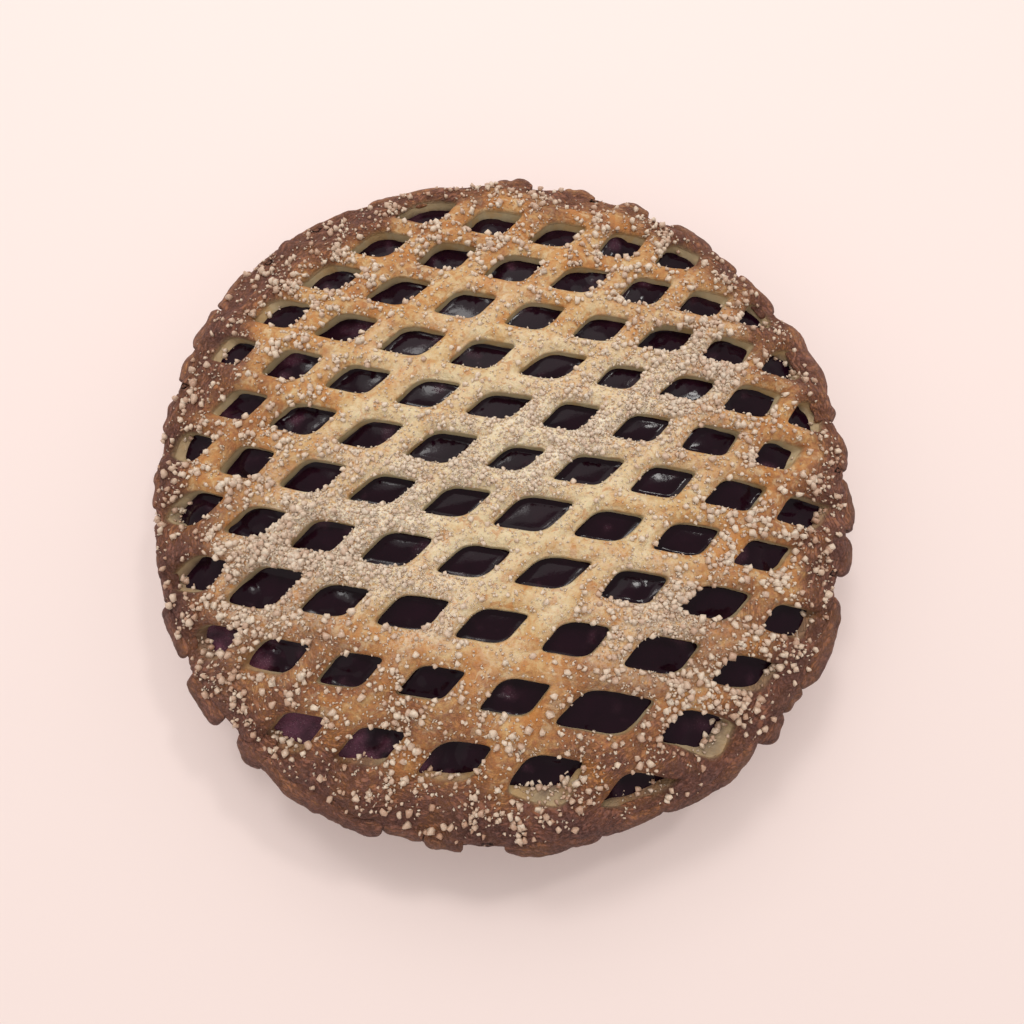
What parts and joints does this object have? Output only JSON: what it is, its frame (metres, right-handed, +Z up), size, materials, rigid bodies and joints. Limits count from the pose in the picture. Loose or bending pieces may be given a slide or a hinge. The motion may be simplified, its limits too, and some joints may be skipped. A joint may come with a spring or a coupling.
{
  "type": "cherry pie",
  "caption": "Whole round cherry pie: stretched lattice top crust with diamond windows over dark cherry filling in a pastry shell with a flange.",
  "frame": {"origin": "centre of the flat underside, where the pie rests", "axes": "+Z up out of the top crust, +X to the right and +Y to the back of the view from the front"},
  "size_m": [0.2403, 0.2434, 0.0533],
  "materials": {
    "baked_crust": "well browned shortcrust, matt and dry, flaky at the edge",
    "cherry_filling": "dark purple cherry filling, set and glossy",
    "lattice_pastry": "egg-washed pastry, pale cream in the middle and brown at the edge",
    "pearl_sugar": "coarse whitish sugar crystals, slightly clear and glossy"
  },
  "bodies": {
    "root": {"bottom_crust": "baked_crust", "filling": "cherry_filling", "lattice_crust": "lattice_pastry"}
  },
  "joints": []
}
